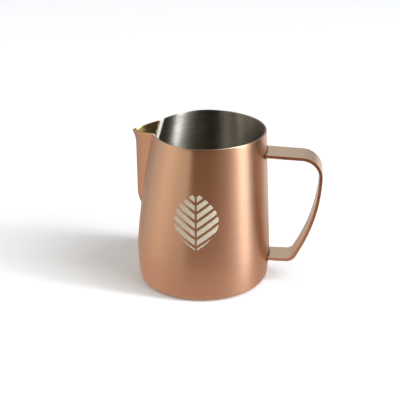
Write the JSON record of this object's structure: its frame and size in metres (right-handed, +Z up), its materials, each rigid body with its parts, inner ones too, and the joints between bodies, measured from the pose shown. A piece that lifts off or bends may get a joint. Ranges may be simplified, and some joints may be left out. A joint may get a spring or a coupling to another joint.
{
  "type": "milk frothing jug",
  "caption": "Open steel milk frothing jug with a pinched pouring spout, a copper-coloured brushed coat and a bent strap handle.",
  "frame": {"origin": "centre of the flat underside of the base, where the jug stands", "axes": "+Z up; +X from the jug's axis through the handle, so the spout points along -X; Y is across the jug"},
  "size_m": [0.1201, 0.086, 0.1],
  "materials": {
    "body_shell": "copper-coloured vapour coat over steel brushed round the body; plain brushed steel inside",
    "spout": "copper-coloured vapour coat over brushed steel; smooth and faintly golden inside",
    "spout_seam": "weld dressed smooth and polished",
    "handle": "satin copper-coloured coat over steel strap",
    "handle_weld": "small weld bead under the same coat"
  },
  "bodies": {
    "root": {"body_shell": "body_shell", "spout": "spout", "spout_seam_left": "spout_seam", "spout_seam_right": "spout_seam", "handle": "handle", "handle_weld_upper": "handle_weld", "handle_weld_lower": "handle_weld"}
  },
  "joints": []
}
